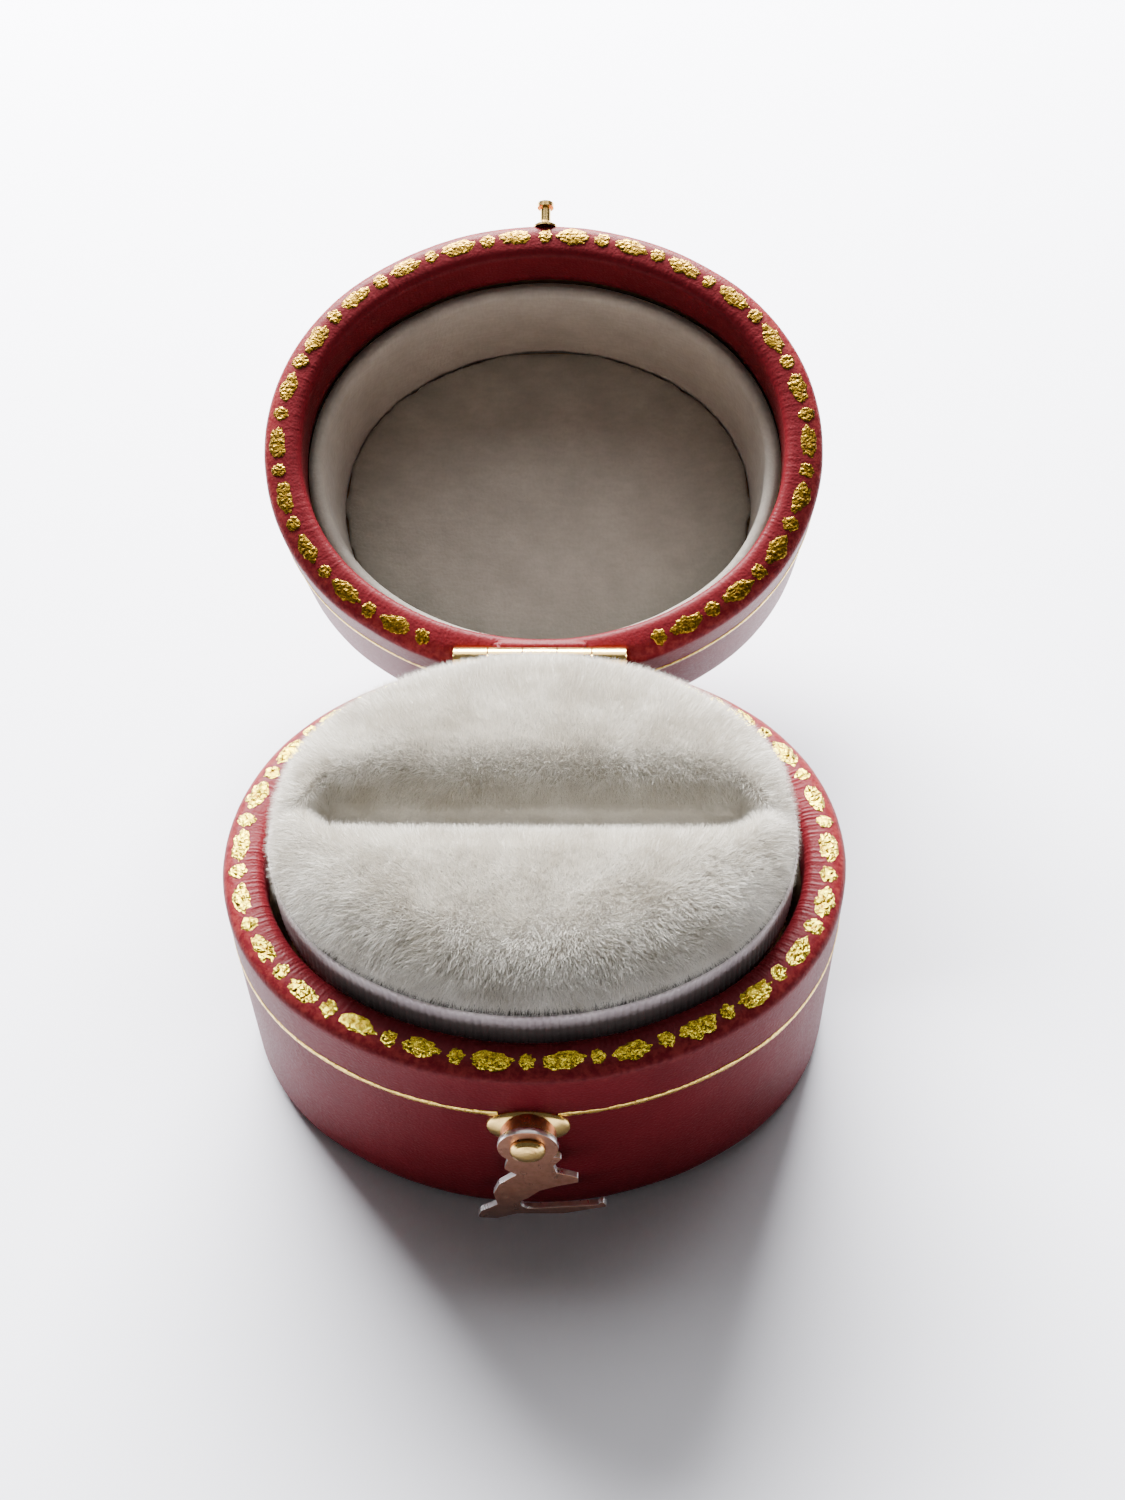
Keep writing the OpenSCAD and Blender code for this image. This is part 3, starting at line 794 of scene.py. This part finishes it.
def gilt_line(z_line, seed):
    """A thin band of foil that lies on the wall, of uneven width and worn thin in places."""
    s = round_path(LINE_STEPS)
    width = 1 + 0.3 * wobble_1d(s, 1.1 * MM, seed) + 0.35 * wobble_1d(s, 0.3 * MM, seed + 2)
    worn = smoothstep(0.38, 0.55, wobble_1d(s, 3.0 * MM, seed + 4))
    half = LINE_HALF * width * (1 - 0.55 * worn)
    drift = wobble_1d(s, 6 * MM, seed + 7) * 0.04 * MM
    c, r, out = oval_at(s)
    inset = DRAFT * LINE_DROP / (RIM_Z - FOOT_Z)
    over = np.maximum(0, (c[:, 1] + r * out[:, 1]) - BACK_Y)
    # [share of the half width, mm proud of the wall]: the two edges lie just under the leather's surface
    section = ((-1, -0.02), (-0.75, 0.045), (0, 0.06), (0.75, 0.045), (1, -0.02))
    rows = []
    for across, proud in section:
        xy = c + (r - inset + proud * MM)[:, None] * out
        xy[:, 1] -= over
        rows.append(np.column_stack([xy, z_line + drift + across * half]))
    pts = np.stack(rows, 1)
    lump = wobble(pts.reshape(-1, 3), 3.5 * MM, 0.3).reshape(LINE_STEPS, -1) * 0.01 * MM
    pts[:, :, :2] += out[:, None, :] * lump[..., None]
    return pts.reshape(-1, 3), sweep_faces(LINE_STEPS, len(section), True)


def off_the_clasp(points, faces):
    """The line's faces without those that the clasp's plate covers."""
    x_gap = 0.72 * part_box("clasp_escutcheon")[1].x
    covered = (np.abs(points[:, 0]) < x_gap) & (points[:, 1] < 0)
    return [face for face in faces if not covered[list(face)].all()]


def gilding():
    base_dabs = dabs("gilt_dabs_base", RIM_Z, 1, 11)
    place(base_dabs, "base", "gilt", DAB_GILT, "base_rim_dabs")
    lid_dabs = dabs("gilt_dabs_lid", LID_RIM_Z, -1, 47)
    place(lid_dabs, "lid", "gilt", PAINTED_SHADE_LID_GILT, "lid_rim_dabs")
    points, faces = gilt_line(RIM_Z - LINE_DROP, 2.3)
    base_line = new_object("gilt_line_base", points, off_the_clasp(points, faces))
    recalc_normals(base_line)
    place(base_line, "base", "gilt_line", LINE_GILT, "base_gilt_line")
    points, faces = gilt_line(LID_RIM_Z + LINE_DROP, 9.1)
    lid_line = new_object("gilt_line_lid", opened(points), faces)
    recalc_normals(lid_line)
    place(lid_line, "lid", "gilt_line", LINE_GILT, "lid_gilt_line")


# ---------------------------------------------------------------- soft pieces


def remeshed_copy(name, node, voxel, shrink):
    """A new object with the CAD node's shape, shrunk towards its foot, SIM_SCALE times as large and in
    even faces."""
    mesh = NODES[node].data.copy()
    obj = bpy.data.objects.new(name, mesh)
    bpy.context.scene.collection.objects.link(obj)
    lo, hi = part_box(node)
    centre = (lo + hi) / 2
    centre.z = lo.z
    shrunk = Matrix.Diagonal((shrink, shrink, shrink, 1))
    mesh.transform(Matrix.Translation(centre) @ shrunk @ Matrix.Translation(-centre))
    mesh.transform(Matrix.Scale(SIM_SCALE, 4))
    mod = obj.modifiers.new("even", "REMESH")
    mod.mode = "VOXEL"
    mod.voxel_size = voxel * SIM_SCALE
    apply_modifiers(obj)
    return obj


def inflated(obj, start, pinned, pressure, cap):
    """Where Cloth's pressure takes each vertex, with the pinned ones held and no move past cap."""
    group = obj.vertex_groups.new(name="pin")
    group.add([int(i) for i in np.flatnonzero(pinned(start / SIM_SCALE))], 1.0, "REPLACE")
    cloth = obj.modifiers.new("cloth", "CLOTH")
    cloth.settings.vertex_group_mass = "pin"
    cloth.settings.use_pressure = True
    cloth.settings.uniform_pressure_force = pressure
    cloth.settings.quality = 6
    cloth.settings.mass = 0.3
    cloth.settings.tension_stiffness = 12
    cloth.settings.compression_stiffness = 12
    cloth.settings.bending_stiffness = 2
    cloth.settings.effector_weights.gravity = 0
    cloth.collision_settings.use_collision = False
    scene = bpy.context.scene
    for f in range(1, SIM_FRAMES + 1):
        scene.frame_set(f)
    result = obj.evaluated_get(bpy.context.evaluated_depsgraph_get())
    move = vectors(result.to_mesh().vertices, "co") - start
    result.to_mesh_clear()
    obj.modifiers.clear()
    obj.vertex_groups.clear()
    scene.frame_set(1)
    far = np.maximum(np.linalg.norm(move, axis=1), 1e-9)
    limit = cap * SIM_SCALE
    return start + move * (limit * np.tanh(far / limit) / far)[:, None]


def puff(obj, pinned, pressure, cap):
    """Inflates a remeshed copy with Cloth, and brings it back to its real size."""
    start = vectors(obj.data.vertices, "co")
    end = inflated(obj, start, pinned, pressure, cap)
    obj.data.vertices.foreach_set("co", (end / SIM_SCALE).ravel())
    obj.data.update()


def reshape(obj, change):
    """Moves every vertex to change(points)."""
    points = change(vectors(obj.data.vertices, "co"))
    obj.data.vertices.foreach_set("co", points.ravel())
    obj.data.update()


def smooth_out(obj, repeat):
    """Evens out the voxels' steps, and adds one subdivision."""
    smooth = obj.modifiers.new("smooth", "SMOOTH")
    smooth.factor = 0.5
    smooth.iterations = repeat
    sub = obj.modifiers.new("subdivide", "SUBSURF")
    sub.levels = 1
    sub.render_levels = 1
    apply_modifiers(obj)
    obj.data.polygons.foreach_set("use_smooth", [True] * len(obj.data.polygons))


def close_slot_ends(p, side):
    """Past the ends of the slot, the two rolls swell until they meet on the centre line."""
    near = 1 - smoothstep(SLOT_HALF, SLOT_HALF + 2.4 * MM, np.abs(p[:, 1]))
    past = smoothstep(SLOT_END - 1.4 * MM, SLOT_END + 0.3 * MM, np.abs(p[:, 0]))
    p[:, 1] -= side * past * near * (SLOT_HALF + 0.5 * MM)
    least = 0.03 * MM
    p[:, 1] = np.where(side * p[:, 1] < least, side * least, p[:, 1])


def fill_foot(p):
    """The velvet is full at its foot, where it is tucked round the card."""
    low = 1 - smoothstep(ROLL_LO.z + 0.6 * MM, ROLL_LO.z + 2.6 * MM, p[:, 2])
    full = 1 + 0.32 * MM * low / HALF_D
    p[:, 0] *= full
    p[:, 1] = np.where(np.abs(p[:, 1]) > SLOT_HALF + 1.0 * MM, p[:, 1] * full, p[:, 1])


def velvet_shape(side):
    """The change that turns a puffed roll into one half of the velvet: side is -1 in front, 1 behind."""

    def change(p):
        close_slot_ends(p, side)
        fill_foot(p)
        lump = wobble(p, 4.5 * MM, 3 + side) * 0.07 * MM + wobble(p, 1.6 * MM, 8 + side) * 0.05 * MM
        p[:, 2] += lump * smoothstep(ROLL_LO.z, ROLL_LO.z + 1.5 * MM, p[:, 2])
        return p

    return change


def velvet_roll(name, node, side):
    obj = remeshed_copy(name, node, 0.55 * MM, 0.985)
    puff(obj, lambda p: p[:, 2] < ROLL_LO.z + 0.35 * MM, 3.0, 0.5 * MM)
    reshape(obj, velvet_shape(side))
    smooth_out(obj, 3)
    return place(obj, "base", "velvet", PAINTED_SHADE_VELVET, node, pad=0.9)


def keep_inside(points, least):
    """Draws in the points that are nearer to the oval's edge than least."""
    x, y = np.abs(points[:, 0]), np.abs(points[:, 1])
    end = np.arctan2(y, x - ARC_X) < SPLIT
    cx, cy = np.where(end, ARC_X, 0.0), np.where(end, 0.0, -ARC_Y)
    limit = np.where(end, END_R, LONG_R) - least
    scale = np.minimum(1, limit / np.hypot(x - cx, y - cy))
    out = points.copy()
    out[:, 0] = np.sign(points[:, 0]) * (cx + (x - cx) * scale)
    out[:, 1] = np.sign(points[:, 1]) * (cy + (y - cy) * scale)
    return out


def scattered(mesh, count, above, rng):
    """Points spread evenly over the mesh's faces above a height, and the direction that each faces."""
    mesh.calc_loop_triangles()
    tri = vectors(mesh.loop_triangles, "vertices", int)
    co = vectors(mesh.vertices, "co")
    normal = vectors(mesh.vertices, "normal")
    a, b, c = co[tri[:, 0]], co[tri[:, 1]], co[tri[:, 2]]
    area = np.linalg.norm(np.cross(b - a, c - a), axis=1) / 2
    middle = (a + b + c) / 3
    area = area * (middle[:, 2] > above)
    pick = rng.choice(len(tri), count, p=area / area.sum())
    u, v = rng.random(count), rng.random(count)
    flip = u + v > 1
    u, v = np.where(flip, 1 - u, u), np.where(flip, 1 - v, v)
    share = np.stack([1 - u - v, u, v])[..., None]
    root = share[0] * a[pick] + share[1] * b[pick] + share[2] * c[pick]
    up = sum(share[k] * normal[tri[pick, k]] for k in range(3))
    return root, up / np.linalg.norm(up, axis=1)[:, None]


def nap(root, up, seed):
    """How the fibres lean along the surface: outwards and down, with patches brushed other ways."""
    swirl_x, swirl_y = wobble(root, 2.4 * MM, seed), wobble(root, 2.4 * MM, seed + 9)
    brush = np.stack([0.6 * swirl_x, 0.6 * swirl_y, np.full(len(root), -0.55)], -1)
    brush[:, :2] += 0.8 * root[:, :2] / HALF_W
    return brush - (brush * up).sum(1)[:, None] * up


def pile(name, roll, count, seed, above):
    """Short fibres on the velvet above a height: one thin blade each, leaning with the nap."""
    rng = np.random.default_rng(seed)
    root, up = scattered(roll.data, count, above, rng)
    stray = rng.standard_normal((count, 3)) * 0.28
    direction = up + 0.8 * nap(root, up, seed) + stray
    direction /= np.linalg.norm(direction, axis=1)[:, None]
    length = MM * rng.uniform(*FIBRE_LENGTH_MM, count)
    side = np.cross(direction, rng.standard_normal((count, 3)))
    side *= FIBRE_HALF_WIDTH / np.linalg.norm(side, axis=1)[:, None]
    root = root - 0.03 * MM * up
    tip = keep_inside(root + direction * length[:, None], WALL_T + 0.08 * MM)
    verts = np.stack([root - side, root + side, tip], 1).reshape(-1, 3)
    faces = [(3 * i, 3 * i + 1, 3 * i + 2) for i in range(count)]
    obj = new_object(name, verts, faces)
    return place(obj, "base", "velvet", PILE)


def velvet_insert():
    front = velvet_roll("velvet_front", "velvet_roll_front", -1)
    rear = velvet_roll("velvet_rear", "velvet_roll_rear", 1)
    pile("velvet_pile_front", front, PILE_FIBRES, 5, ROLL_LO.z + 0.12 * MM)
    pile("velvet_pile_rear", rear, PILE_FIBRES, 6, ROLL_LO.z + 0.12 * MM)
    slot_lining()


def slot_section():
    """[y, z] from one lip of the ring slot down its wall, across the floor and up again."""
    wall = SLOT_HALF - 0.06 * MM
    low = SLOT_FLOOR + 0.3 * MM
    bend = 0.5 * MM
    half = [(-wall - 0.35 * MM, ROLL_LO.z + 0.9 * MM)]
    half += [(-wall, z) for z in np.linspace(ROLL_LO.z - 0.2 * MM, low + bend, 12)]
    half += arc((-wall + bend, low + bend), bend, 180, 270, 5)
    return half + [(-y, z) for y, z in reversed(half)]


def slot_lining():
    """Velvet tucked down both walls of the ring slot and across its floor."""
    section = slot_section()
    half_l = RIBBON_HI.x - 0.5 * MM
    xs = np.linspace(-half_l, half_l, 90)
    verts = np.array([(x, y, z) for x in xs for y, z in section])
    uneven = wobble(verts, 1.8 * MM, 4.4) * 0.1 * MM
    verts[:, 1] -= np.sign(verts[:, 1]) * np.abs(uneven)
    m = len(section)
    corners = [i * m + k for i in range(len(xs) - 1) for k in range(m - 1)]
    faces = [(v, v + m, v + m + 1, v + 1) for v in corners]
    obj = new_object("velvet_slot_lining", verts, faces)
    thickness = obj.modifiers.new("thickness", "SOLIDIFY")
    thickness.thickness = SLOT_CLOTH_T
    thickness.offset = 0
    apply_modifiers(obj)
    place(obj, "base", "velvet", PILE)
    fibres = pile("velvet_pile_slot", obj, SLOT_FIBRES, 7, SLOT_FLOOR)


def ribbon_section():
    """[mm behind the ribbon's face, height, share of a rib's push, share of a loop's push]: up the face
    from its lower edge, then over the rolled upper edge."""
    top, low = RIBBON_HI.z, RIBBON_LO.z
    rows = [(0.22, low, 0, 0)]
    rows += [(0, low + up * MM, 1, 0) for up in (0, 0.8, 1.6, 2.2, 2.4, 2.6, 2.8, 3.0)]
    rows += [(-0.02, top - 0.4 * MM, 1, 0), (-0.05, top - 0.26 * MM, 1, 1)]
    rows += [(-0.05, top - 0.12 * MM, 1, 1), (0.02, top - 0.02 * MM, 1, 0.6)]
    return rows + [(0.12, top, 0, 0), (0.22, top, 0, 0)]


def grosgrain():
    """The ribbon: cross ribs, a rolled upper edge, and a small loop of thread at each rib's end."""
    n = round(oval_length(INSERT_IN) / RIB_PITCH) * RIB_STEPS
    s = round_path(n)
    behind, heights, ribbed, looped = np.array(ribbon_section()).T
    outline = np.stack([INSERT_IN + behind * MM, heights], -1)
    pts = sweep_points(outline, s)
    out = oval_at(s)[2]
    rib = np.abs(np.sin(np.arange(n) * math.pi / RIB_STEPS))[:, None]
    sag = (wobble_1d(s, 5 * MM, 2.2) * 0.06 * MM)[:, None]
    push = RIB_PROUD * rib * ribbed + RIB_PROUD / 2 * rib**3 * looped + sag * ribbed
    pts[:, :, :2] += out[:, None, :] * push[..., None]
    pts[:, :, 2] += (wobble_1d(s, 8 * MM, 5.5) * 0.06 * MM)[:, None]
    obj = new_object("grosgrain_ribbon", pts.reshape(-1, 3), sweep_faces(n, len(outline), True))
    recalc_normals(obj)
    place(obj, "base", "ribbon", RIBBON, "insert_ribbon")


def lining_section():
    """[inset, height] of the side lining, round its lip and up its face, and how uneven each point is."""
    low, high = LINING_LO[2] - LIP_LOW, LINING_HI[2]
    r = LIP_T / 2
    lip_top = low + 2 * r
    back = [(LINING_OUT, high), (LINING_OUT, lip_top)]
    angles = np.radians(np.arange(0, 181, 22.5))
    lip = [(LINING_OUT + r - r * math.cos(a), low + r - r * math.sin(a)) for a in angles]
    shares = np.linspace(0.05, 1, LINING_ROWS)
    face = [(LINING_OUT + LIP_T + LINING_LEAN * u, lip_top + (high - lip_top) * u) for u in shares]
    uneven = np.array([0] * len(back) + [0.5] * len(lip) + [1] * len(face))
    return back + lip + face, uneven


def lid_side_cloth():
    """Side lining of the lid, with a soft rolled lip."""
    s = round_path(LINING_STEPS)
    rows, uneven = lining_section()
    pts = sweep_points(rows, s)
    out = oval_at(s)[2]
    lump = wobble(pts.reshape(-1, 3), 3.0 * MM, 7.7).reshape(LINING_STEPS, -1) * 0.1 * MM
    pts[:, :, :2] -= out[:, None, :] * (np.abs(lump) * uneven[None, :])[..., None]
    pts[:, :, 2] += (wobble_1d(s, 4 * MM, 1.2) * 0.07 * MM)[:, None] * (uneven > 0)[None, :]
    faces = sweep_faces(LINING_STEPS, len(rows), True)
    obj = new_object("lid_side_cloth", opened(pts.reshape(-1, 3)), faces)
    recalc_normals(obj)
    place(obj, "lid", "lining", LINING, "lid_side_lining", pad=0.3)


def held_to_board(points):
    return shut(points)[:, 2] > PAD_HIGH - 0.3 * MM


def tucked(points):
    """Widens the cushion until its edge is pinched against the side lining."""
    p = shut(points)
    p[:, :2] *= 1 + 0.4 * MM / HALF_D
    return opened(p)


def lid_top_cushion():
    """The padded cloth on the inside of the lid's top."""
    pad = remeshed_copy("lid_top_cushion", "lid_top_pad", 0.5 * MM, 1.0)
    puff(pad, held_to_board, 1.6, 0.5 * MM)
    reshape(pad, tucked)
    smooth_out(pad, 9)
    place(pad, "lid", "lining", LINING, "lid_top_pad", pad=0.4)


# ---------------------------------------------------------------- clasp, hinge and hidden parts


def clasp_hook():
    """The hook's plate with its edges broken by filing."""
    mesh = NODES["clasp_hook"].data.copy()
    obj = bpy.data.objects.new("hook_plate", mesh)
    bpy.context.scene.collection.objects.link(obj)
    bm = bmesh.new()
    bm.from_mesh(mesh)
    bmesh.ops.remove_doubles(bm, verts=bm.verts, dist=0.004 * MM)
    bmesh.ops.dissolve_limit(bm, angle_limit=math.radians(2), verts=bm.verts, edges=bm.edges)
    bm.to_mesh(mesh)
    bm.free()
    bevel(obj, 0.06 * MM, 2, 50)
    apply_modifiers(obj)
    obj.data.materials.clear()
    place(obj, "hook", "hook", HOOK, "clasp_hook")


def upright_ring(half_x, half_z, y):
    """A ring of points about the hook's pivot, standing at y."""
    a = np.linspace(0, 2 * math.pi, CLASP_STEPS, endpoint=False)
    return np.column_stack([half_x * np.cos(a), y + 0 * a, PIVOT.z + half_z * np.sin(a)])


def ring_faces(rings, steps):
    """Quads between successive closed rings of points."""
    faces = []
    for i in range(rings - 1):
        for k in range(steps):
            after = (k + 1) % steps
            faces.append((i * steps + k, i * steps + after, (i + 1) * steps + after, (i + 1) * steps + k))
    return faces


def escutcheon():
    """The domed oval plate, drawn by [share of its half width, rise] from the wall to the barrel."""
    lo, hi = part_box("clasp_escutcheon")
    half_x, half_z = (hi.x - lo.x) / 2, (hi.z - lo.z) / 2
    edge_u, top_u = 0.95, 0.35
    edge_rise, top_rise = 0.33, 0.75
    profile = [(1.0, 0.0), (1.0, 0.18), (0.985, 0.26), (edge_u, edge_rise)]
    for u in np.linspace(0.9, top_u, 10):
        climb = math.sin(math.pi / 2 * (edge_u - u) / (edge_u - top_u))
        profile.append((u, edge_rise + (top_rise - edge_rise) * climb))
    scale = (hi.y - lo.y) / top_rise
    rings = [upright_ring(half_x * u, half_z * u, hi.y - rise * scale) for u, rise in profile]
    plate = new_object("escutcheon_dome", np.concatenate(rings), ring_faces(len(rings), CLASP_STEPS))
    recalc_normals(plate)
    place(plate, "base", "brass", BRASS, "clasp_escutcheon")


def barrel():
    """The barrel that stands out of the plate, with the edge of its face rounded."""
    lo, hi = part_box("clasp_barrel")
    radius = (hi.x - lo.x) / 2
    front, back = lo.y, -HALF_D + 0.1 * MM
    profile = [(1, back), (1, front + 0.12 * MM), (0.985, front + 0.05 * MM), (0.95, front + 0.01 * MM)]
    profile += [(0.85, front), (0.4, front)]
    rings = [upright_ring(radius * u, radius * u, y) for u, y in profile]
    boss = new_object("clasp_boss", np.concatenate(rings), ring_faces(len(rings), CLASP_STEPS))
    recalc_normals(boss)
    place(boss, "base", "copper", COPPER, "clasp_barrel")


def dress(material, *nodes):
    """A better material on CAD nodes whose shape is right as it is."""
    for name in nodes:
        obj = NODES[name]
        obj.data.materials.clear()
        obj.data.materials.append(material)


def cad_pieces():
    dress(BRASS, "clasp_rivet", "lid_stud", "lid_stud_washer")
    dress(BRASS, "hinge_base_leaf", "hinge_lid_leaf", "hinge_pin")
    dress(WOOD, "base_floor", "base_core", "insert_block_front", "insert_block_rear", "slot_spacer")
    dress(WOOD, "lid_core", "lid_top_board")
    dress(PAINTED_SHADE_CARD, "insert_card", "lid_lining_card")
    dress(UNDER, "base_pad")


# ---------------------------------------------------------------- floor, light and camera


def pale_floor():
    m = Nodes("pale_floor", Roughness=0.75)
    m.set(Specular_IOR_Level=0.2)
    tone = m.mix(m.range(m.noise(0.01, 2), 0.3, 0.7, 0, 1), (0.79, 0.79, 0.85), (0.77, 0.77, 0.83))
    corners = [(-1, -1), (1, -1), (1, 1), (-1, 1)]
    floor = new_object("floor", [(x * FLOOR_HALF, y * FLOOR_HALF, 0) for x, y in corners], [(0, 1, 2, 3)])
    floor.data.materials.append(m.done(tone))


def area_light(name, place_at, width, height, power):
    data = bpy.data.lights.new(name, "AREA")
    data.shape = "RECTANGLE"
    data.size = width
    data.size_y = height
    data.energy = power
    obj = bpy.data.objects.new(name, data)
    bpy.context.scene.collection.objects.link(obj)
    obj.location = place_at
    aim = LIGHT_TARGET - obj.location
    obj.rotation_euler = aim.to_track_quat("-Z", "Y").to_euler()


def studio():
    """A pale floor, a long window high up behind the box, a soft ceiling light and a dim warm room."""
    pale_floor()
    world = bpy.data.worlds.new("studio")
    world.use_nodes = True
    room = world.node_tree.nodes["Background"].inputs
    room["Color"].default_value = ROOM_COLOUR
    room["Strength"].default_value = ROOM_STRENGTH
    bpy.context.scene.world = world
    area_light("window", *WINDOW)
    area_light("ceiling", *CEILING)


def camera():
    data = bpy.data.cameras.new("camera")
    data.sensor_fit = "VERTICAL"
    data.sensor_height = SENSOR
    data.lens = CAMERA_LENS
    data.clip_start = 0.001
    obj = bpy.data.objects.new("camera", data)
    bpy.context.scene.collection.objects.link(obj)
    flat = math.cos(CAMERA_ELEVATION)
    ahead = Vector((math.sin(CAMERA_TURN) * flat, math.cos(CAMERA_TURN) * flat, -math.sin(CAMERA_ELEVATION)))
    level = Vector((math.cos(CAMERA_TURN), -math.sin(CAMERA_TURN), 0))
    up = level.cross(ahead)
    right = level * math.cos(CAMERA_ROLL) + up * math.sin(CAMERA_ROLL)
    up = right.cross(ahead)
    place_at = CAMERA_TARGET - ahead * CAMERA_DISTANCE
    rows = Matrix((right, up, -ahead)).transposed()
    obj.matrix_world = Matrix.Translation(place_at) @ rows.to_4x4()
    bpy.context.scene.camera = obj


camera()
studio()
base_leather()
lid_leather()
gilding()
velvet_insert()
grosgrain()
lid_side_cloth()
lid_top_cushion()
clasp_hook()
escutcheon()
barrel()
cad_pieces()
